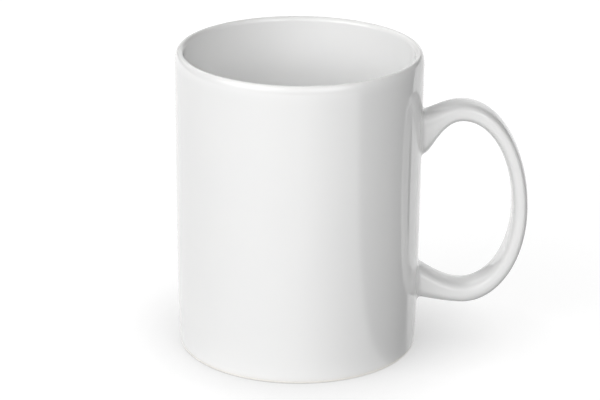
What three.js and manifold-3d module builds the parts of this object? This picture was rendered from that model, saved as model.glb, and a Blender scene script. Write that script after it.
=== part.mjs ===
// A straight-sided ceramic mug, built up the way a pottery makes one: a clay cup, a cast handle, the
// slip that joins the two, and the glaze that coats them. Millimetres, +Z up, standing on z = 0.
import * as THREE from "three";
import { mergeVertices } from "three/addons/utils/BufferGeometryUtils.js";
import Module from "manifold-3d";

const wasm = await Module();
wasm.setup();

// The cup, measured over its glaze.
const cup = {
  rimRadius: 41,
  height: 102,
  lipThickness: 3,
  lipShoulder: 4.5, // how far down the outside the lip's rounding reaches
  wallThickness: 3.8,
  lipBlend: 16, // below the lip, the depth over which the wall grows to its full thickness
  taper: 0.5, // the wall is this much narrower at its foot than at its rim
  tuck: 0.6, // the extra curve inwards just above the foot
  tuckHeight: 22,
  floorThickness: 5.5,
  floorRound: 9, // where the inside wall turns into the floor
  footRound: 0.9,
  footRingWidth: 3.2,
  recessDepth: 2.2, // under the floor, inside the foot ring
  recessRound: 1.5,
};

// The handle's loop, measured over its glaze, in the plane that holds the cup's axis. The two roots
// are where it meets the wall. Each has an outer and an inner edge: a lean is the way the edge sets off
// from the wall, out and up, and a run is how far it goes level before the crown or the heel.
const handle = {
  width: 12.7,
  squareness: 3.3, // 2 is an ellipse, and more is a fuller section
  reach: 35.7, // from the rim's radius to the back of the loop
  dropFromRim: 17.3, // from the rim down to the top of the loop
  liftFromFoot: 14.6, // from the table up to the bottom of the loop
  crownAt: 0.364, // the highest point, as a share of the reach
  heelAt: 0.4, // the lowest point, as a share of the reach
  backAt: 0.538, // the furthest point, as a share of the loop's height, from its top
  crownThickness: 5.8,
  backThickness: 5.3,
  heelThickness: 6.6,
  fullness: 0.56, // of the four round quarters; 0.552 is an ellipse
  upperRoot: {
    drop: 3.5, // from the top of the loop
    height: 13.8,
    outer: { lean: [4, 1.1], run: 5.5 },
    inner: { lean: [2.5, -1.2], run: 7.5 },
  },
  lowerRoot: {
    lift: 1.6, // from the bottom of the loop
    height: 10.8,
    outer: { lean: [5, -0.8], run: 4.6 },
    inner: { lean: [2.3, -1], run: 7 },
  },
};

// The slip that joins the handle to the wall, and the glaze.
const slip = {
  fillet: 1.5, // radius of the sponged fillet round each root, over the glaze
  bond: 0.4, // from the wall to the far side of the layer behind the handle's end
  collarLength: 0.5, // how far it stands up past that, round the handle's end
};
const glaze = {
  thickness: 0.3,
  footLine: 1.1, // the glaze stops this far above the table
};
const skinGap = 0.1; // between a glaze and the clay under it
const seatGap = 0.15; // between two pieces that meet at a root

// How finely the round shapes are cut.
const facets = { around: 60, lip: 5, round: 4, section: 20, loop: 10, root: 8 };
const rootCrowding = 1.5; // 1 spaces the sections at a root evenly, and more draws them to the wall
const rootReachIn = 3; // how far a root is drawn into the wall before the wall trims it

const bodyInset = glaze.thickness + skinGap;
const lipCentre = cup.height - cup.lipThickness / 2;
const floorTop = cup.recessDepth + cup.floorThickness;

// ---- the cup's outline, as points [radius, height] that lie `inset` under the finished surface ----

const taperAt = (z) => cup.taper * (1 - z / lipCentre);

function outerRadius(z) {
  const low = Math.max(0, 1 - z / cup.tuckHeight);
  return cup.rimRadius - taperAt(z) - cup.tuck * low * low;
}

function innerRadius(z) {
  const grown = THREE.MathUtils.smoothstep(lipCentre - z, 0, cup.lipBlend);
  const wall = THREE.MathUtils.lerp(cup.lipThickness, cup.wallThickness, grown);
  return cup.rimRadius - taperAt(z) - wall;
}

function arc(centre, radii, fromDegrees, toDegrees, steps) {
  return Array.from({ length: steps + 1 }, (_, i) => {
    const a = THREE.MathUtils.degToRad(fromDegrees + ((toDegrees - fromDegrees) * i) / steps);
    return [centre[0] + radii[0] * Math.cos(a), centre[1] + radii[1] * Math.sin(a)];
  });
}

const footCentre = [outerRadius(cup.footRound) - cup.footRound, cup.footRound];
const footInner = footCentre[0] - cup.footRingWidth;

// The recess under the floor: from its centre out to the inside of the foot ring.
function recess(inset) {
  const centre = [footInner - cup.recessRound, cup.recessDepth - cup.recessRound];
  const radius = cup.recessRound + inset;
  return [[0, cup.recessDepth + inset], ...arc(centre, [radius, radius], 90, 0, facets.round)];
}

// The outside wall, from the height `from` up to the lip.
function outside(inset, from) {
  const heights = Array.from(
    { length: facets.round + 1 },
    (_, i) => from + ((cup.tuckHeight - from) * i) / facets.round,
  );
  return heights.map((z) => [outerRadius(z) - inset, z]);
}

// Over the lip: a long round outside and a short one inside.
function lip(inset) {
  const middle = cup.rimRadius - cup.lipThickness / 2;
  const radius = cup.lipThickness / 2 - inset;
  const shoulder = [middle, cup.height - cup.lipShoulder];
  return [
    ...arc(shoulder, [radius, cup.lipShoulder - inset], 0, 90, facets.lip),
    ...arc([middle, lipCentre], [radius, radius], 90, 180, facets.lip).slice(1),
  ];
}

// The inside: down the wall, round into the floor and in to the axis.
function inside(inset) {
  const steps = facets.round;
  const blend = Array.from({ length: steps }, (_, i) => lipCentre - (cup.lipBlend * (i + 1)) / steps);
  const turn = floorTop + cup.floorRound;
  const centre = [innerRadius(turn) - cup.floorRound, turn];
  const radius = cup.floorRound + inset;
  return [
    ...blend.map((z) => [innerRadius(z) + inset, z]),
    ...arc(centre, [radius, radius], 0, -90, facets.round + 1),
    [0, floorTop - inset],
  ];
}

// ---- solids ----

function lathe(profile) {
  const points = profile.map(([r, z]) => new THREE.Vector2(r, z));
  return new THREE.LatheGeometry(points, facets.around).rotateX(Math.PI / 2);
}

function toSolid(geometry) {
  const bare = geometry.clone().deleteAttribute("normal").deleteAttribute("uv");
  const merged = mergeVertices(bare, 1e-4);
  return new wasm.Manifold(
    new wasm.Mesh({
      numProp: 3,
      vertProperties: merged.attributes.position.array,
      triVerts: new Uint32Array(merged.index.array),
    }),
  );
}

function toGeometry(solid) {
  const mesh = solid.getMesh();
  return new THREE.BufferGeometry()
    .setAttribute("position", new THREE.BufferAttribute(mesh.vertProperties, 3))
    .setIndex(new THREE.BufferAttribute(mesh.triVerts, 1));
}

// Everything within the outside wall, `inset` under its surface: what trims the roots.
function wallCore(inset) {
  const top = cup.height + cup.lipThickness;
  const wall = [...outside(inset, 0), [outerRadius(lipCentre) - inset, top]];
  return toSolid(lathe([[0, 0], ...wall, [0, top]]));
}

// ---- the handle ----

const loopTop = cup.height - handle.dropFromRim;
const loopBottom = handle.liftFromFoot;
const crownX = cup.rimRadius + handle.crownAt * handle.reach;
const heelX = cup.rimRadius + handle.heelAt * handle.reach;
const backX = cup.rimRadius + handle.reach;
const backZ = loopTop - handle.backAt * (loopTop - loopBottom);

const bezier = (...points) =>
  new THREE.CubicBezierCurve(...points.map(([x, z]) => new THREE.Vector2(x, z)));

// One edge of the loop, from the upper root to the lower one, as four curves that meet smoothly.
function loopEdge(crownZ, heelZ, edgeBackX, upperZ, upper, lowerZ, lower) {
  const k = handle.fullness;
  const crown = [crownX, crownZ];
  const back = [edgeBackX, backZ];
  const heel = [heelX, heelZ];
  const upperEnd = [cup.rimRadius, upperZ];
  const lowerEnd = [cup.rimRadius, lowerZ];
  const lean = ([x, z], [out, up]) => [x + out, z + up];
  return [
    bezier(upperEnd, lean(upperEnd, upper.lean), lean(crown, [-upper.run, 0]), crown),
    bezier(crown, lean(crown, [k * (edgeBackX - crownX), 0]), lean(back, [0, k * (crownZ - backZ)]), back),
    bezier(back, lean(back, [0, k * (heelZ - backZ)]), lean(heel, [k * (edgeBackX - heelX), 0]), heel),
    bezier(heel, lean(heel, [-lower.run, 0]), lean(lowerEnd, lower.lean), lowerEnd),
  ];
}

const upperTop = loopTop - handle.upperRoot.drop;
const lowerBottom = loopBottom + handle.lowerRoot.lift;
const outerEdge = loopEdge(
  loopTop,
  loopBottom,
  backX,
  upperTop,
  handle.upperRoot.outer,
  lowerBottom,
  handle.lowerRoot.outer,
);
const innerEdge = loopEdge(
  loopTop - handle.crownThickness,
  loopBottom + handle.heelThickness,
  backX - handle.backThickness,
  upperTop - handle.upperRoot.height,
  handle.upperRoot.inner,
  lowerBottom + handle.lowerRoot.height,
  handle.lowerRoot.inner,
);

// Where the loop is cut into sections: close together at the roots, where the fillet is.
function stations() {
  const found = [];
  for (let piece = 0; piece < 4; piece++) {
    const steps = piece % 3 === 0 ? facets.root : facets.loop;
    for (let i = piece === 0 ? 0 : 1; i <= steps; i++) {
      let t = i / steps;
      if (piece === 0) t = t ** rootCrowding;
      if (piece === 3) t = 1 - (1 - t) ** rootCrowding;
      found.push({ outer: outerEdge[piece].getPoint(t), inner: innerEdge[piece].getPoint(t) });
    }
  }
  const into = (end) => {
    const shift = new THREE.Vector2(-rootReachIn, 0);
    return { outer: end.outer.clone().add(shift), inner: end.inner.clone().add(shift) };
  };
  return [into(found[0]), ...found, into(found[found.length - 1])];
}

// How far a concave fillet of this radius stands off the surface, `away` from the wall it runs into.
function filletRise(radius, away) {
  if (radius <= 0 || away >= radius) return 0;
  const short = radius - Math.max(0, away);
  return radius - Math.sqrt(radius * radius - short * short);
}

// The handle `inset` under its finished surface, with a fillet of this radius at both roots. It runs on
// into the wall.
function loop(inset, fillet) {
  const n = facets.section;
  const power = 2 / handle.squareness;
  const corner = (v) => Math.sign(v) * Math.abs(v) ** power;
  const positions = [];
  const rings = stations();
  for (const { outer, inner } of rings) {
    const centre = outer.clone().add(inner).divideScalar(2);
    const across = outer.clone().sub(inner);
    const half = across.length() / 2 - inset;
    across.normalize();
    for (let i = 0; i < n; i++) {
      const a = (2 * Math.PI * i) / n;
      const [c, s] = [Math.cos(a), Math.sin(a)];
      const base = centre.clone().addScaledVector(across, half * corner(c));
      const side = (handle.width / 2 - inset) * corner(s);
      const away = Math.hypot(base.x, side) - (outerRadius(base.y) - inset);
      const rise = filletRise(fillet, away);
      const place = base.addScaledVector(across, rise * c);
      positions.push(place.x, side + rise * s, place.y);
    }
  }
  for (const ring of [rings[0], rings[rings.length - 1]]) {
    positions.push((ring.outer.x + ring.inner.x) / 2, 0, (ring.outer.y + ring.inner.y) / 2);
  }
  const index = [];
  const last = rings.length - 1;
  for (let i = 0; i < n; i++) {
    const j = (i + 1) % n;
    for (let r = 0; r < last; r++) {
      const [a, b, c, d] = [r * n + i, r * n + j, (r + 1) * n + j, (r + 1) * n + i];
      index.push(a, c, b, a, d, c);
    }
    index.push(rings.length * n, i, j);
    index.push(rings.length * n + 1, last * n + j, last * n + i);
  }
  const geometry = new THREE.BufferGeometry()
    .setAttribute("position", new THREE.Float32BufferAttribute(positions, 3))
    .setIndex(index);
  return toSolid(geometry);
}

// ---- the pieces ----

const bodyProfile = [
  ...recess(bodyInset),
  [footInner + bodyInset, 0],
  ...arc(footCentre, [cup.footRound - bodyInset, cup.footRound], -90, 0, facets.round),
  ...outside(bodyInset, cup.footRound).slice(1),
  ...lip(bodyInset),
  ...inside(bodyInset),
];

const coatOver = (inset) => [...outside(inset, glaze.footLine), ...lip(inset), ...inside(inset)];
const cupGlazeProfile = [...coatOver(glaze.thickness).reverse(), ...coatOver(0)];
const baseGlazeProfile = [...recess(0), ...recess(glaze.thickness).reverse()];

const finishedLoop = loop(0, slip.fillet);
const clearedLoop = loop(-seatGap, slip.fillet - seatGap);
const underGlaze = loop(glaze.thickness, slip.fillet + glaze.thickness);
const slipLoop = loop(bodyInset, slip.fillet + bodyInset);
const clayLoop = loop(bodyInset, 0);
const clayClearance = loop(bodyInset - seatGap, 0);

const wallFace = wallCore(bodyInset - seatGap);
const bondFace = wallCore(bodyInset - slip.bond);
const clayFace = wallCore(bodyInset - slip.bond - seatGap);
const collarFace = wallCore(bodyInset - slip.bond - slip.collarLength);

// The collar of slip at one root: it fills the bond behind the handle's end and stands up round it.
const slipJoints = slipLoop
  .intersect(collarFace)
  .subtract(wallFace)
  .subtract(clayClearance.subtract(bondFace))
  .decompose();
const heightOf = (solid) => solid.boundingBox().min[2];
slipJoints.sort((a, b) => heightOf(b) - heightOf(a));

const clay = new THREE.MeshStandardMaterial({ color: 0xe9e4da, roughness: 0.85, metalness: 0 });
const driedSlip = new THREE.MeshStandardMaterial({ color: 0xe2dccf, roughness: 0.9, metalness: 0 });
const whiteGlaze = new THREE.MeshStandardMaterial({ color: 0xf3f3f1, roughness: 0.08, metalness: 0 });

const mug = new THREE.Group();
// The origin is under the middle of the whole mug, handle included.
mug.position.x = -handle.reach / 2;

function piece(name, geometry, material) {
  const mesh = new THREE.Mesh(geometry, material);
  mesh.name = name;
  mug.add(mesh);
}

piece("cup_body", lathe(bodyProfile), clay);
piece("cup_glaze", toGeometry(toSolid(lathe(cupGlazeProfile)).subtract(clearedLoop)), whiteGlaze);
piece("base_glaze", lathe(baseGlazeProfile), whiteGlaze);
piece("handle", toGeometry(clayLoop.subtract(clayFace)), clay);
piece("upper_slip_joint", toGeometry(slipJoints[0]), driedSlip);
piece("lower_slip_joint", toGeometry(slipJoints[1]), driedSlip);
piece("handle_glaze", toGeometry(finishedLoop.subtract(underGlaze).subtract(wallFace)), whiteGlaze);

export default mug;
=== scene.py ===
# A white glazed mug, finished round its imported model: clay, slip and glaze, on a pale table in a soft studio.
import math

import bmesh
import bpy
from mathutils import Matrix, Vector, noise


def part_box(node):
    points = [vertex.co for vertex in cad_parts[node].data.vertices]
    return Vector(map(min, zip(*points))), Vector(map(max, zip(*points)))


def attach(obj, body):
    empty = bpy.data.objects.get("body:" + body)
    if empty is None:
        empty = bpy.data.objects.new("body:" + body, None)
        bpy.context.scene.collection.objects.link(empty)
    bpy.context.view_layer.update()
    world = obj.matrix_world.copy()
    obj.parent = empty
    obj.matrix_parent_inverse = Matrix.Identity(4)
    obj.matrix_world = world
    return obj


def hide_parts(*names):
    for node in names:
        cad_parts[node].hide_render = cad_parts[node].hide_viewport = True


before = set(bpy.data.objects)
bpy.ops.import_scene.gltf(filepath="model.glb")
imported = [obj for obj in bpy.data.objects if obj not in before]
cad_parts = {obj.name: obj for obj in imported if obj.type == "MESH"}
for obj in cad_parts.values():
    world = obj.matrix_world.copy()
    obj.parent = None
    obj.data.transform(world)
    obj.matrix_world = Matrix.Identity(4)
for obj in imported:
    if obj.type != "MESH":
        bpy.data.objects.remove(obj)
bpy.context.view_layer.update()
print("frame loaded:", ", ".join(sorted(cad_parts)))

mm = 0.001

glazeLow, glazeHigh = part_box("cup_glaze")
loopLow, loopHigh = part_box("handle_glaze")
axisX = (glazeLow.x + glazeHigh.x) / 2  # the cup stands round this upright line
rimRadius = (glazeHigh.y - glazeLow.y) / 2
cupHeight = glazeHigh.z

# The cup's outline. Insets are measured in from the finished surface.
cup = {
    "lip": 3.0 * mm,
    "shoulder": 4.5 * mm,  # depth of the lip's outer rounding
    "wall": 3.8 * mm,
    "lipBlend": 16 * mm,  # depth below the lip at which the wall has its full thickness
    "taper": 0.5 * mm,
    "tuck": 0.6 * mm,  # the last curve inwards above the foot
    "tuckHeight": 22 * mm,
    "floorTop": 7.7 * mm,
    "floorRound": 9 * mm,
    "footRound": 0.9 * mm,
    "footRoundEnd": -20,  # degrees: the foot's rounding stops here and meets the wall
    "footRing": 3.2 * mm,
    "footWear": 0.25 * mm,  # the foot's inner edge, rubbed down
    "clayFrom": 2 * mm,  # the clay's wall starts this far up
    "recess": 2.2 * mm,
    "recessRound": 1.5 * mm,
    "coat": 0.3 * mm,
    "clayInset": 0.4 * mm,
    "glazeStop": 1.1 * mm,  # the wiped line above the table
}
lipZ = cupHeight - cup["lip"] / 2
footR = rimRadius - cup["taper"] - cup["tuck"] - cup["footRound"]  # middle of the foot's outer rounding
recessR = footR - cup["footRing"]

# How many steps each stretch of the outline is cut into.
steps = {
    "around": 256,
    "tuck": 10,
    "outside": 30,
    "shoulder": 20,
    "lip": 14,
    "inside": 34,
    "floorRound": 16,
    "floor": 8,
    "recess": 10,
    "recessRound": 12,
    "footRound": 12,
    "bead": 8,
}

# Unevenness left by the mould and the kiln, the same for every piece that meets the wall.
drift = {
    "oval": 0.05 * mm,
    "ovalTurn": 0.9,
    "wave": 0.04 * mm,
    "waveSize": 24 * mm,
    "ripple": 0.004 * mm,
    "rippleSize": 5 * mm,
    "rippleShift": (7, 3, 5),
    "outsideOf": 20 * mm,  # nearer the axis than this the surface is left true
}


def spread(start, end, count):
    return [start + (end - start) * i / count for i in range(count + 1)]


def ease(share):
    share = min(1, max(0, share))
    return share * share * (3 - 2 * share)


def arc(centre, radius, start, end, count, tall=None):
    tall = tall or radius
    turns = [math.radians(a) for a in spread(start, end, count)]
    return [(centre[0] + radius * math.cos(a), centre[1] + tall * math.sin(a)) for a in turns]


def outsideRadius(z):
    low = max(0, 1 - z / cup["tuckHeight"])
    return rimRadius - cup["taper"] * (1 - z / lipZ) - cup["tuck"] * low * low


def insideRadius(z):
    grown = ease((lipZ - z) / cup["lipBlend"])
    return rimRadius - cup["taper"] * (1 - z / lipZ) - cup["lip"] - (cup["wall"] - cup["lip"]) * grown


def driftAt(x, y, z):  # how far the surface stands off its true place, x and y from the cup's axis
    spot = Vector((x, y, z))
    oval = drift["oval"] * math.cos(2 * math.atan2(y, x) + drift["ovalTurn"]) * z / cupHeight
    wave = drift["wave"] * noise.noise(spot / drift["waveSize"])
    ripple = drift["ripple"] * noise.noise(spot / drift["rippleSize"] + Vector(drift["rippleShift"]))
    return oval + wave + ripple


def upOutside(inset, fromZ):
    heights = spread(fromZ, cup["tuckHeight"], steps["tuck"])
    heights += spread(cup["tuckHeight"], cupHeight - cup["shoulder"], steps["outside"])[1:-1]
    return [(outsideRadius(z) - inset, z) for z in heights]


def overLip(inset):
    middle = rimRadius - cup["lip"] / 2
    half = cup["lip"] / 2 - inset
    start = (middle, cupHeight - cup["shoulder"])
    outer = arc(start, half, 0, 90, steps["shoulder"], cup["shoulder"] - inset)
    return outer + arc((middle, lipZ), half, 90, 180, steps["lip"])[1:]


def downInside(inset):
    turnZ = cup["floorTop"] + cup["floorRound"]
    wall = [(insideRadius(z) + inset, z) for z in spread(lipZ, turnZ, steps["inside"])[1:-1]]
    centre = (insideRadius(turnZ) - cup["floorRound"], turnZ)
    corner = arc(centre, cup["floorRound"] + inset, 0, -90, steps["floorRound"])
    floor = [(r, cup["floorTop"] - inset) for r in spread(corner[-1][0], 0, steps["floor"])[1:]]
    return wall + corner + floor


def underFloor(inset):
    centre = (recessR - cup["recessRound"], cup["recess"] - cup["recessRound"])
    flat = [(r, cup["recess"] + inset) for r in spread(0, centre[0], steps["recess"])[:-1]]
    return flat + arc(centre, cup["recessRound"] + inset, 90, 0, steps["recessRound"])


def keep(name, mesh):
    bmesh.ops.recalc_face_normals(mesh, faces=mesh.faces)
    data = bpy.data.meshes.new(name)
    mesh.to_mesh(data)
    mesh.free()
    data.polygons.foreach_set("use_smooth", [True] * len(data.polygons))
    piece = bpy.data.objects.new(name, data)
    bpy.context.scene.collection.objects.link(piece)
    return piece


def stitch(mesh, rowA, rowB):
    # Faces between two rings of points. A row of one point makes a fan.
    count = max(len(rowA), len(rowB))
    for i in range(count):
        j = (i + 1) % count
        corners = [rowA[i % len(rowA)], rowA[j % len(rowA)], rowB[j % len(rowB)], rowB[i % len(rowB)]]
        mesh.faces.new([v for k, v in enumerate(corners) if v not in corners[:k]])


def turn(name, outline):
    # An outline of (radius, height) turned round the cup's axis, closed on itself or on the axis.
    mesh = bmesh.new()
    rows = []
    for r, z in outline:
        angles = spread(0, 2 * math.pi, steps["around"])[:-1] if r > 1e-6 else [0]
        row = []
        for a in angles:
            x = r * math.cos(a)
            y = r * math.sin(a)
            share = 1 + (driftAt(x, y, z) / r if r > drift["outsideOf"] else 0)
            row.append(mesh.verts.new((axisX + x * share, y * share, z)))
        rows.append(row)
    for a, b in zip(rows, rows[1:] + rows[:1]):
        if len(a) + len(b) > 2:
            stitch(mesh, a, b)
    return keep(name, mesh)


def glazeOutline():
    # From the coat's rolled edge above the foot, up and over the lip to the floor, then back along the clay.
    coat = cup["coat"]
    stop = cup["glazeStop"]
    bead = arc((outsideRadius(stop) - coat / 2, stop), coat / 2, -170, 0, steps["bead"])
    outer = bead + upOutside(0, stop)[1:] + overLip(0) + downInside(0)
    return outer + (upOutside(coat, stop) + overLip(coat) + downInside(coat))[::-1]


def clayOutline():
    inset = cup["clayInset"]
    wear = cup["footWear"]
    foot = [(recessR + inset, wear), (recessR + inset + wear, 0)]
    foot += arc((footR, cup["footRound"]), cup["footRound"], -90, cup["footRoundEnd"], steps["footRound"])
    return underFloor(inset) + foot + upOutside(inset, cup["clayFrom"]) + overLip(inset) + downInside(inset)


def baseOutline():
    return underFloor(0) + underFloor(cup["coat"])[::-1]


cupGlaze = turn("cupGlaze", glazeOutline())
clayCup = turn("clayCup", clayOutline())
baseGlaze = turn("baseGlaze", baseOutline())
print("cup turned:", len(cupGlaze.data.vertices), "points in its glaze")

# The handle, as the two edges of its loop in the plane through the cup's axis. In `upper` and `lower`, each
# edge leaves the wall with how far out, how far up, and the run into the crown or heel.
loop = {
    "width": 12.7 * mm,
    "squareness": 3.3,
    "crownAt": 0.364,  # shares of the reach and of the loop's height
    "heelAt": 0.4,
    "backAt": 0.538,
    "crownThick": 5.8 * mm,
    "backThick": 5.3 * mm,
    "heelThick": 6.6 * mm,
    "fullness": 0.56,
    "upperDrop": 3.5 * mm,
    "upperHeight": 13.8 * mm,
    "upper": {"outer": (4 * mm, 1.1 * mm, 5.5 * mm), "inner": (2.5 * mm, -1.2 * mm, 7.5 * mm)},
    "lowerLift": 1.6 * mm,
    "lowerHeight": 10.8 * mm,
    "lower": {"outer": (5 * mm, -0.8 * mm, 4.6 * mm), "inner": (2.3 * mm, -1 * mm, 7 * mm)},
    "runIn": 6 * mm,  # how fast an edge goes on into the wall past its end
    "fillet": 1.5 * mm,
    "sunk": 0.06 * mm,  # how far the ends sit under the wall's glaze
    "sectionSteps": 80,
    "filletSteps": 12,
    "rootSteps": 22,
    "rootCrowding": 1.2,  # over 1, the steps are closer together at the root
    "quarterSteps": 40,
    "halvings": 40,
}
loopTop = loopHigh.z
loopBottom = loopLow.z
loopBack = loopHigh.x - axisX


def quarter(*points):
    return [Vector(p) for p in points]


def loopEdge(side, crownZ, heelZ, backR, upperZ, lowerZ):
    reach = loopBack - rimRadius
    crownR = rimRadius + loop["crownAt"] * reach
    heelR = rimRadius + loop["heelAt"] * reach
    backZ = loopTop - loop["backAt"] * (loopTop - loopBottom)
    k = loop["fullness"]
    upOut, upRise, upRun = loop["upper"][side]
    lowOut, lowRise, lowRun = loop["lower"][side]
    crown = (crownR, crownZ)
    back = (backR, backZ)
    heel = (heelR, heelZ)
    upper = (rimRadius, upperZ)
    lower = (rimRadius, lowerZ)
    return [
        quarter(upper, (rimRadius + upOut, upperZ + upRise), (crownR - upRun, crownZ), crown),
        quarter(crown, (crownR + k * (backR - crownR), crownZ), (backR, backZ + k * (crownZ - backZ)), back),
        quarter(back, (backR, backZ + k * (heelZ - backZ)), (heelR + k * (backR - heelR), heelZ), heel),
        quarter(heel, (heelR - lowRun, heelZ), (rimRadius + lowOut, lowerZ + lowRise), lower),
    ]


upperTop = loopTop - loop["upperDrop"]
lowerBottom = loopBottom + loop["lowerLift"]
outerEdge = loopEdge("outer", loopTop, loopBottom, loopBack, upperTop, lowerBottom)
innerEdge = loopEdge(
    "inner",
    loopTop - loop["crownThick"],
    loopBottom + loop["heelThick"],
    loopBack - loop["backThick"],
    upperTop - loop["upperHeight"],
    lowerBottom + loop["lowerHeight"],
)


def along(edge, u):
    # A point on an edge: u runs from 0 to 4, and past either end it goes straight on into the wall.
    held = min(4, max(0, u))
    number = min(3, int(held))
    t = held - number
    a, b, c, d = edge[number]
    point = a * (1 - t) ** 3 + b * 3 * t * (1 - t) ** 2 + c * 3 * t * t * (1 - t) + d * t ** 3
    return point - Vector((abs(u - held) * loop["runIn"], 0))


def boxed(value):  # pushes a circle's sine or cosine out towards a rounded square
    return math.copysign(abs(value) ** (2 / loop["squareness"]), value)


def sectionPoint(u, angle, inset):
    # A point of the handle's section before any fillet, and the way out of the section there.
    outer = along(outerEdge, u)
    inner = along(innerEdge, u)
    across = (outer - inner).normalized()
    reach = (outer - inner).length / 2 - inset
    middle = (outer + inner) / 2 + across * reach * boxed(math.cos(angle))
    side = (loop["width"] / 2 - inset) * boxed(math.sin(angle))
    out = Vector((across.x * math.cos(angle), math.sin(angle), across.y * math.cos(angle)))
    return Vector((middle.x, side, middle.y)), out


def standOff(point, inset):  # how far clear of the wall, or of the clay under its coat, a point is
    return math.hypot(point.x, point.y) - (outsideRadius(point.z) - inset)


def rootU(angle, inset, away, low, high):
    # Where along the loop the section's line at this angle stands `away` off the wall.
    for _ in range(loop["halvings"]):
        u = (low + high) / 2
        if standOff(sectionPoint(u, angle, inset)[0], inset) > away:
            high = u
        else:
            low = u
    return (low + high) / 2


def filletPoint(u, angle, inset, away, rise):
    point, out = sectionPoint(u, angle, inset)
    point = point + out * rise
    radius = outsideRadius(point.z) - inset + away
    return Vector((math.sqrt(radius * radius - point.y * point.y), point.y, point.z))


def rootColumn(angle, inset, low, high, end):
    # One line along the handle, from its buried end through the fillet to u = end on the loop.
    radius = loop["fillet"] + inset
    column = [filletPoint(rootU(angle, inset, 0, low, high), angle, inset, -loop["sunk"], radius)]
    for beta in spread(0, math.pi / 2, loop["filletSteps"]):
        away = radius * (1 - math.cos(beta))
        rise = radius * (1 - math.sin(beta))
        u = rootU(angle, inset, away, low, high)
        column.append(filletPoint(u, angle, inset, away, rise))
    start = rootU(angle, inset, radius, low, high)
    for k in range(1, loop["rootSteps"] + 1):
        share = (k / loop["rootSteps"]) ** loop["rootCrowding"]
        column.append(sectionPoint(start + (end - start) * share, angle, inset)[0])
    return column


def handleRows(inset):
    # Rings of points from one buried end to the other. Each row is a list over the section's angles.
    columns = []
    for i in range(loop["sectionSteps"]):
        angle = 2 * math.pi * i / loop["sectionSteps"]
        column = rootColumn(angle, inset, -1, 1, 1)
        for u in spread(1, 3, 2 * loop["quarterSteps"])[1:-1]:
            column.append(sectionPoint(u, angle, inset)[0])
        column += rootColumn(angle, inset, 5, 3, 3)[::-1]
        columns.append(column)
    return [list(row) for row in zip(*columns)]


def castHandle(name):
    mesh = bmesh.new()
    skins = []
    for inset in (0, cup["coat"]):
        skin = []
        for row in handleRows(inset):
            made = []
            for p in row:
                off = Vector((p.x, p.y, 0)).normalized() * driftAt(p.x, p.y, p.z)
                made.append(mesh.verts.new((axisX + p.x + off.x, p.y + off.y, p.z)))
            skin.append(made)
        skins.append(skin)
    for skin in skins:
        for a, b in zip(skin, skin[1:]):
            stitch(mesh, a, b)
    for end in (0, -1):
        stitch(mesh, skins[0][end], skins[1][end])
    return keep(name, mesh)


handleGlaze = castHandle("handleGlaze")
print("handle cast:", len(handleGlaze.data.vertices), "points in its glaze")


def newGroup(name, inputs, outputs):
    group = bpy.data.node_groups.new(name, "ShaderNodeTree")
    for label, value in inputs.items():
        kind = "NodeSocketColor" if isinstance(value, tuple) else "NodeSocketFloat"
        group.interface.new_socket(label, in_out="INPUT", socket_type=kind).default_value = value
    for label, kind in outputs.items():
        group.interface.new_socket(label, in_out="OUTPUT", socket_type=kind)
    return group, group.nodes.new("NodeGroupInput").outputs, group.nodes.new("NodeGroupOutput").inputs


def plug(tree, socket, value):  # a value may be a number, a colour or another node's socket
    if isinstance(value, bpy.types.NodeSocket):
        tree.links.new(value, socket)
    else:
        socket.default_value = value


def put(tree, kind, values=None, **settings):
    made = tree.nodes.new(kind)
    for key, value in settings.items():
        setattr(made, key, value)
    for key, value in (values or {}).items():
        plug(tree, made.inputs[key], value)
    return made.outputs


def putGroup(tree, group, values):
    made = tree.nodes.new("ShaderNodeGroup")
    made.node_tree = group
    for key, value in values.items():
        made.inputs[key].default_value = value
    return made.outputs


def combine(tree, operation, first, second=0.0):
    return put(tree, "ShaderNodeMath", {0: first, 1: second}, operation=operation)["Value"]


def remap(tree, value, low, high, toLow, toHigh):
    labels = ("Value", "From Min", "From Max", "To Min", "To Max")
    return put(tree, "ShaderNodeMapRange", dict(zip(labels, (value, low, high, toLow, toHigh))))["Result"]


def mixColour(tree, share, first, second):
    made = tree.nodes.new("ShaderNodeMix")
    made.data_type = "RGBA"
    for number, value in ((0, share), (6, first), (7, second)):  # a colour mix uses these sockets
        plug(tree, made.inputs[number], value)
    return made.outputs[2]


def cloud(tree, spot, size, detail, roughness=0.5):  # soft noise with features of about this size
    values = {"Vector": spot, "Scale": 1 / size, "Detail": detail, "Roughness": roughness}
    return put(tree, "ShaderNodeTexNoise", values)["Fac"]


def cells(tree, spot, size):
    return put(tree, "ShaderNodeTexVoronoi", {"Vector": spot, "Scale": 1 / size, "Randomness": 1})


# The marks in a fired glaze: their sizes, and the part of each pattern that shows.
skinMarks = {
    "tone": {"size": 26 * mm, "detail": 3, "shows": (0.42, 0.75)},
    "gloss": {"size": 7 * mm, "detail": 4, "roughness": 0.6, "shows": (0.3, 0.7)},
    "wave": {"size": 9 * mm, "detail": 1, "height": 3},
    "peel": {"size": 1.7 * mm, "detail": 2},
    "pinhole": {"apart": 6 * mm, "width": 0.035, "rarity": 0.86},
    "depth": 0.004 * mm,
}


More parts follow.
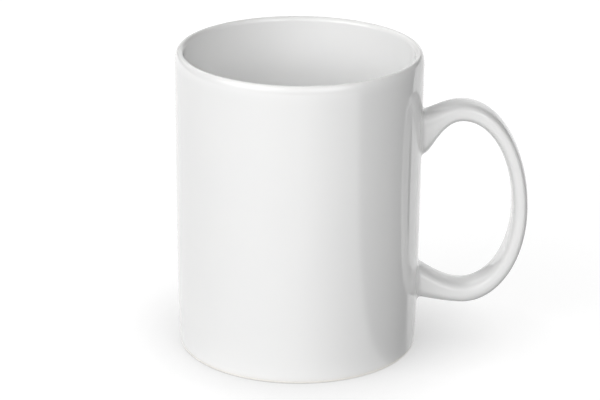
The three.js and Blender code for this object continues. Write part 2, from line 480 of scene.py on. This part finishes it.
def makeGlazeSkin():
    # A fired glaze: slow drifts of tone, a gloss that varies a little, orange peel and rare pinholes.
    group, given, wanted = newGroup(
        "glazeSkin",
        {
            "Tone": (0.8, 0.8, 0.8, 1),
            "Pooled Tone": (0.7, 0.7, 0.7, 1),
            "Drift": 0.4,
            "Gloss Low": 0.05,
            "Gloss High": 0.1,
            "Peel": 0.5,
            "Pinholes": 0.3,
        },
        {"Colour": "NodeSocketColor", "Roughness": "NodeSocketFloat", "Normal": "NodeSocketVector"},
    )
    spot = put(group, "ShaderNodeTexCoord")["Object"]
    tone = skinMarks["tone"]
    slow = remap(group, cloud(group, spot, tone["size"], tone["detail"]), *tone["shows"], 0, 1)
    pooled = combine(group, "MULTIPLY", slow, given["Drift"])
    plug(group, wanted["Colour"], mixColour(group, pooled, given["Tone"], given["Pooled Tone"]))

    gloss = skinMarks["gloss"]
    sheen = cloud(group, spot, gloss["size"], gloss["detail"], gloss["roughness"])
    sheen = remap(group, sheen, *gloss["shows"], given["Gloss Low"], given["Gloss High"])
    plug(group, wanted["Roughness"], sheen)

    wave = cloud(group, spot, skinMarks["wave"]["size"], skinMarks["wave"]["detail"])
    peel = cloud(group, spot, skinMarks["peel"]["size"], skinMarks["peel"]["detail"])
    pinhole = skinMarks["pinhole"]
    holes = cells(group, spot, pinhole["apart"])
    pin = remap(group, holes["Distance"], 0.0, pinhole["width"], 1, 0)
    chance = put(group, "ShaderNodeSeparateColor", {0: holes["Color"]})["Red"]
    rare = combine(group, "GREATER_THAN", chance, pinhole["rarity"])
    pins = combine(group, "MULTIPLY", combine(group, "MULTIPLY", pin, rare), given["Pinholes"])
    height = combine(group, "ADD", combine(group, "MULTIPLY", wave, skinMarks["wave"]["height"]), peel)
    height = combine(group, "SUBTRACT", combine(group, "MULTIPLY", height, given["Peel"]), pins)
    bump = put(group, "ShaderNodeBump", {"Strength": 1, "Distance": skinMarks["depth"], "Height": height})
    plug(group, wanted["Normal"], bump["Normal"])
    return group


# The marks in fired clay without glaze.
grainMarks = {
    "blotch": {"size": 11 * mm, "detail": 3, "shows": (0.35, 0.7), "strength": 0.35},
    "speck": {"apart": 1.1 * mm, "width": (0.08, 0.2), "rarity": 0.8},
    "tooth": {"size": 0.35 * mm, "detail": 4, "roughness": 0.7, "shows": (0.3, 0.7)},
    "dullness": (0.95, 0.75),  # in the tooth's hollows, and on its tops
}


def makeClayGrain():
    # A fine tooth, soft blotches and scattered darker grains.
    group, given, wanted = newGroup(
        "clayGrain",
        {"Tone": (0.8, 0.77, 0.7, 1), "Grain Tone": (0.6, 0.56, 0.48, 1), "Grain": 0.5, "Tooth": 0.5},
        {"Colour": "NodeSocketColor", "Roughness": "NodeSocketFloat", "Height": "NodeSocketFloat"},
    )
    spot = put(group, "ShaderNodeTexCoord")["Object"]
    blotch = grainMarks["blotch"]
    patches = cloud(group, spot, blotch["size"], blotch["detail"])
    patches = remap(group, patches, *blotch["shows"], 0, blotch["strength"])
    speck = grainMarks["speck"]
    grains = cells(group, spot, speck["apart"])
    chance = put(group, "ShaderNodeSeparateColor", {0: grains["Color"]})["Green"]
    rare = combine(group, "GREATER_THAN", chance, speck["rarity"])
    grains = combine(group, "MULTIPLY", remap(group, grains["Distance"], *speck["width"], 1, 0), rare)
    share = combine(group, "MULTIPLY", combine(group, "MAXIMUM", patches, grains), given["Grain"])
    plug(group, wanted["Colour"], mixColour(group, share, given["Tone"], given["Grain Tone"]))

    tooth = grainMarks["tooth"]
    fine = cloud(group, spot, tooth["size"], tooth["detail"], tooth["roughness"])
    plug(group, wanted["Roughness"], remap(group, fine, *tooth["shows"], *grainMarks["dullness"]))
    plug(group, wanted["Height"], combine(group, "MULTIPLY", fine, given["Tooth"]))
    return group


bandWaver = {"size": 8 * mm, "detail": 2, "shows": (0.2, 0.8)}


def makeEdgeBand():
    # A mask that is 1 at one height and fades to 0 over a soft distance either side of it.
    group, given, wanted = newGroup(
        "edgeBand",
        {"Height": 0.0, "Fade": 1 * mm, "Waver": 0.3 * mm},
        {"Mask": "NodeSocketFloat"},
    )
    spot = put(group, "ShaderNodeTexCoord")["Object"]
    z = put(group, "ShaderNodeSeparateXYZ", {0: spot})["Z"]
    waver = cloud(group, spot, bandWaver["size"], bandWaver["detail"])
    stray = combine(group, "MULTIPLY", remap(group, waver, *bandWaver["shows"], -1, 1), given["Waver"])
    off = combine(group, "SUBTRACT", combine(group, "ADD", z, stray), given["Height"])
    off = combine(group, "ABSOLUTE", off)
    plug(group, wanted["Mask"], remap(group, off, 0.0, given["Fade"], 1, 0))
    return group


glazeSkin = makeGlazeSkin()
clayGrain = makeClayGrain()
edgeBand = makeEdgeBand()


def newFinish(name):
    finish = bpy.data.materials.new(name)
    finish.use_nodes = True
    tree = finish.node_tree
    return finish, tree, tree.nodes["Principled BSDF"].inputs


glazeLook = {
    "tone": (0.82, 0.82, 0.816, 1),
    "pooled": (0.795, 0.798, 0.798, 1),
    "thin": (0.8, 0.79, 0.77, 1),  # where the clay's warmth comes through
    "gloss": (0.02, 0.045),
    "ior": 1.65,
    "peel": 0.7,
}
# Where a coat is thin, as (height, fade either side, strength), and how strong its marks are.
coats = {
    "whiteGlaze": {
        "thin": [(cupHeight, 1.2 * mm, 0.35), (cup["glazeStop"], 1.4 * mm, 0.6)],
        "drift": 0.5,
        "peel": 1.0,
        "pinholes": 0.4,
    },
    "handleGlaze": {"thin": [], "drift": 0.4, "peel": 0.8, "pinholes": 0.4},
    "baseGlaze": {"thin": [(0.6 * mm, 0.8 * mm, 0.6)], "drift": 0.9, "peel": 1.4, "pinholes": 1},
}


def glazeFinish(name):
    finish, tree, shader = newFinish(name)
    coat = coats[name]
    low, high = glazeLook["gloss"]
    skin = putGroup(tree, glazeSkin, {
        "Tone": glazeLook["tone"],
        "Pooled Tone": glazeLook["pooled"],
        "Drift": coat["drift"],
        "Gloss Low": low,
        "Gloss High": high,
        "Peel": glazeLook["peel"] * coat["peel"],
        "Pinholes": coat["pinholes"],
    })
    colour = skin["Colour"]
    for height, fade, strength in coat["thin"]:
        band = putGroup(tree, edgeBand, {"Height": height, "Fade": fade, "Waver": fade / 4})
        share = combine(tree, "MULTIPLY", band["Mask"], strength)
        colour = mixColour(tree, share, colour, glazeLook["thin"])
    plug(tree, shader["Base Color"], colour)
    plug(tree, shader["Roughness"], skin["Roughness"])
    plug(tree, shader["Normal"], skin["Normal"])
    shader["IOR"].default_value = glazeLook["ior"]
    return finish


clayLook = {
    "tone": (0.83, 0.81, 0.77, 1),
    "grainTone": (0.6, 0.56, 0.5, 1),
    "grain": 0.5,
    "tooth": 1,
    "strength": 0.8,
    "depth": 0.03 * mm,
    "ringScale": 193.75,  # rings about 1.6 mm apart
    "ringStray": 1.5,
    "ringHeight": 0.35,
}
slipLook = {
    "tone": (0.8, 0.77, 0.71, 1),
    "grainTone": (0.7, 0.67, 0.6, 1),
    "grain": 0.3,
    "tooth": 0.4,
    "strength": 0.6,
    "depth": 0.02 * mm,
}


def wipedRings(tree):
    # The foot was wiped and rubbed flat on a turning wheel, so fine rings run round the cup's axis.
    spot = put(tree, "ShaderNodeTexCoord")["Object"]
    spot = put(tree, "ShaderNodeVectorMath", {0: spot, 1: (-axisX, 0, 0)}, operation="ADD")["Vector"]
    values = {
        "Vector": spot,
        "Scale": clayLook["ringScale"],
        "Distortion": clayLook["ringStray"],
        "Detail": 2,
    }
    rings = put(tree, "ShaderNodeTexWave", values, wave_type="RINGS", rings_direction="Z")["Fac"]
    return combine(tree, "MULTIPLY", rings, clayLook["ringHeight"])


def clayFinish(name, look):
    finish, tree, shader = newFinish(name)
    grain = putGroup(tree, clayGrain, {
        "Tone": look["tone"],
        "Grain Tone": look["grainTone"],
        "Grain": look["grain"],
        "Tooth": look["tooth"],
    })
    height = grain["Height"]
    if "ringScale" in look:
        height = combine(tree, "ADD", height, wipedRings(tree))
    values = {"Strength": look["strength"], "Distance": look["depth"], "Height": height}
    plug(tree, shader["Base Color"], grain["Colour"])
    plug(tree, shader["Roughness"], grain["Roughness"])
    plug(tree, shader["Normal"], put(tree, "ShaderNodeBump", values)["Normal"])
    return finish


whiteGlaze = glazeFinish("whiteGlaze")
handleCoat = glazeFinish("handleGlaze")
baseCoat = glazeFinish("baseGlaze")
bareClay = clayFinish("bareClay", clayLook)
driedSlip = clayFinish("driedSlip", slipLook)

for piece, slot, finish, nodeName in (
    (cupGlaze, "glaze", whiteGlaze, "cup_glaze"),
    (clayCup, "clay", bareClay, "cup_body"),
    (baseGlaze, "glaze", baseCoat, "base_glaze"),
    (handleGlaze, "glaze", handleCoat, "handle_glaze"),
):
    piece.data.materials.append(finish)
    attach(piece, "root")
    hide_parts(nodeName)

for nodeName, finish in (
    ("handle", bareClay),
    ("upper_slip_joint", driedSlip),
    ("lower_slip_joint", driedSlip),
):
    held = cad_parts[nodeName]
    held.data.materials.clear()
    held.data.materials.append(finish)
print("finishes made")

# The table is pale to the eye everywhere. In the glaze's reflections it is pale too, except at the handle's
# side, where past a straight edge it is a painted dark reflection. The light that it throws up at the mug comes
# from a darker top, painted shade.
table = {
    "half": 6.0,
    "drop": 0.05 * mm,  # the gap under the foot
    "tone": 0.3,
    "toneDrift": 0.98,
    "toneSize": 90 * mm,
    "roughness": 0.85,
    "specular": 0.1,
    # The glow is painted light on the table's top; round the foot it is dimmed into a painted contact shadow.
    "glow": 0.8,
    "contact": 32 * mm,  # how far out the painted contact shadow round the foot reaches
    "contactDepth": 0.6,
    "contactSamples": 16,
    # The tone that bounce light sees: a darker copy of the top, which paints shade on the mug.
    "thrown": (0.6, 0.3),  # beside the foot, and away from it
    "thrownFrom": (44 * mm, 60 * mm),
    "underGlow": 0.7,  # under the foot ring, so that the base is lit when the mug is looked at from below
    "underGlowEnds": (41 * mm, 43 * mm),
    # The painted dark reflection: a near-black table that only the glaze's reflections see, with its straight
    # edge and its spread.
    "dark": (0.02, 0.02, 0.02, 1),
    "darkEdgeFaces": 39,  # the way the dark's straight edge faces, degrees round from the camera's side
    "darkEdge": (33 * mm, 39 * mm),  # how far out it begins and is full
    "darkTowards": 104,
    "darkSpread": (54, 46),  # degrees either side of that at which it begins and is full
}


def compass(bearing, up):
    # The way towards a light: degrees round from the camera's side towards the handle, and degrees up.
    a = math.radians(bearing)
    e = math.radians(up)
    return math.sin(a) * math.cos(e), -math.cos(a) * math.cos(e), math.sin(e)


def dot(tree, first, second):
    return put(tree, "ShaderNodeVectorMath", {0: first, 1: second}, operation="DOT_PRODUCT")["Value"]


def grey(tree, value):
    return put(tree, "ShaderNodeCombineColor", {0: value, 1: value, 2: value})["Color"]


def mixShader(tree, share, first, second):
    return put(tree, "ShaderNodeMixShader", {0: share, 1: first, 2: second})["Shader"]


def paintedDarkReflection(tree, outward):
    # How strong the table's painted dark reflection is, from the way outward across the table from the cup's
    # axis.
    past = dot(tree, outward, compass(table["darkEdgeFaces"], 0))
    edge = remap(tree, past, *table["darkEdge"], 0.0, 1.0)
    bearing = put(tree, "ShaderNodeVectorMath", {0: outward}, operation="NORMALIZE")["Vector"]
    facing = dot(tree, bearing, compass(table["darkTowards"], 0))
    begins, full = (math.cos(math.radians(a)) for a in table["darkSpread"])
    side = remap(tree, facing, begins, full, 0.0, 1.0)
    return combine(tree, "MULTIPLY", edge, side)


def tableFinish():
    finish, tree, shader = newFinish("paleTable")
    light = put(tree, "ShaderNodeLightPath")
    spot = put(tree, "ShaderNodeTexCoord")["Object"]
    outward = put(tree, "ShaderNodeVectorMath", {0: spot, 1: (axisX, 0, 0)}, operation="SUBTRACT")["Vector"]
    away = put(tree, "ShaderNodeVectorMath", {0: outward}, operation="LENGTH")["Value"]

    tone = cloud(tree, spot, table["toneSize"], 3)
    tone = remap(tree, tone, 0.3, 0.7, table["tone"] * table["toneDrift"], table["tone"])
    plug(tree, shader["Base Color"], grey(tree, tone))
    shader["Roughness"].default_value = table["roughness"]
    shader["Specular IOR Level"].default_value = table["specular"]

    # The table's glow is painted light that makes its top pale to the eye and in the glaze's reflections; the
    # ambient occlusion dims it round the foot into a painted contact shadow.
    reach = {"Distance": table["contact"]}
    contact = put(tree, "ShaderNodeAmbientOcclusion", reach, samples=table["contactSamples"])["AO"]
    contact = remap(tree, contact, 0.0, 1.0, 1 - table["contactDepth"], 1.0)
    # The painted dark reflection shows only in glossy rays, and there it also takes the table's glow away.
    dark = combine(tree, "MULTIPLY", paintedDarkReflection(tree, outward), light["Is Glossy Ray"])
    glow = combine(tree, "MULTIPLY", contact, table["glow"])
    glow = combine(tree, "MULTIPLY", glow, combine(tree, "SUBTRACT", 1.0, dark))
    shader["Emission Color"].default_value = (1, 1, 1, 1)
    plug(tree, shader["Emission Strength"], glow)
    # A near-black copy of the table, for the painted dark reflection.
    black = put(tree, "ShaderNodeBsdfDiffuse", {"Color": table["dark"]})["BSDF"]
    seen = mixShader(tree, dark, tree.nodes["Principled BSDF"].outputs["BSDF"], black)

    # Bounce light sees a darker copy of the table, painted shade on the mug, and a painted glow under the foot
    # ring.
    thrown = remap(tree, away, *table["thrownFrom"], *table["thrown"])
    thrown = put(tree, "ShaderNodeBsdfDiffuse", {"Color": grey(tree, thrown)})["BSDF"]
    values = {"Color": (1, 1, 1, 1), "Strength": table["underGlow"]}
    under = put(tree, "ShaderNodeEmission", values)["Emission"]
    thrown = mixShader(tree, remap(tree, away, *table["underGlowEnds"], 1.0, 0.0), thrown, under)

    top = mixShader(tree, light["Is Diffuse Ray"], seen, thrown)
    clear = put(tree, "ShaderNodeBsdfTransparent")["BSDF"]
    below = put(tree, "ShaderNodeNewGeometry")["Backfacing"]  # the table is seen through from below
    plug(tree, tree.nodes["Material Output"].inputs["Surface"], mixShader(tree, below, top, clear))
    return finish


def layTable():
    mesh = bmesh.new()
    bmesh.ops.create_grid(mesh, x_segments=2, y_segments=2, size=table["half"])
    top = keep("paleTable", mesh)
    top.location.z = -table["drop"]
    top.data.materials.append(tableFinish())


layTable()
print("table laid")

# Metres back from the cup's axis and up, degrees of tilt, and the lens in millimetres.
camera = {
    "back": 0.76896,
    "height": 0.33516,
    "down": 20.385,
    "turn": -0.041,
    "roll": 0.466,
    "lens": 146.91,
    "sensor": 36,
    "farthest": 50,
}


def setCamera():
    data = bpy.data.cameras.new("studioCamera")
    data.lens = camera["lens"]
    data.sensor_width = camera["sensor"]
    data.clip_end = camera["farthest"]
    seat = bpy.data.objects.new("studioCamera", data)
    bpy.context.scene.collection.objects.link(seat)
    aim = Matrix.Rotation(math.radians(camera["turn"]), 4, "Z")
    aim = aim @ Matrix.Rotation(math.radians(90 - camera["down"]), 4, "X")
    aim = aim @ Matrix.Rotation(math.radians(camera["roll"]), 4, "Z")
    seat.matrix_world = Matrix.Translation((axisX, -camera["back"], camera["height"])) @ aim
    bpy.context.scene.camera = seat


setCamera()
print("camera set")

# Soft studio lights, each a round glow: degrees round from the camera's side towards the handle, degrees up,
# how tight it is, and how bright.
lights = {
    "key": (300, 27, 16, 4.9),
    "keyFill": (332, 28, 16, 2.9),
    "sideFill": (32, 30, 16, 3.9),
    "farLeft": (210, 34, 14, 2.4),
    "backdrop": (172, 5, 20, 2.5),
}
mirrorShare = 0.6  # how bright the lights are in the glaze's reflections


def lightStudio():
    world = bpy.data.worlds.new("softStudio")
    world.use_nodes = True
    tree = world.node_tree
    direction = put(tree, "ShaderNodeTexCoord")["Generated"]
    total = 0.0
    for bearing, up, tight, bright in lights.values():
        facing = combine(tree, "MAXIMUM", dot(tree, direction, compass(bearing, up)), 0.0)
        glow = combine(tree, "POWER", facing, float(tight))
        total = combine(tree, "ADD", total, combine(tree, "MULTIPLY", glow, bright))
    light = put(tree, "ShaderNodeLightPath")
    dimmed = combine(tree, "MULTIPLY", light["Is Glossy Ray"], 1 - mirrorShare)
    total = combine(tree, "MULTIPLY", total, combine(tree, "SUBTRACT", 1.0, dimmed))
    total = combine(tree, "MAXIMUM", total, light["Is Camera Ray"])  # the room is as pale as the table
    background = tree.nodes["Background"].inputs
    background["Color"].default_value = (1, 1, 1, 1)
    plug(tree, background["Strength"], total)
    bpy.context.scene.world = world
    bpy.context.scene.view_settings.view_transform = "Standard"


lightStudio()
print("studio lit")
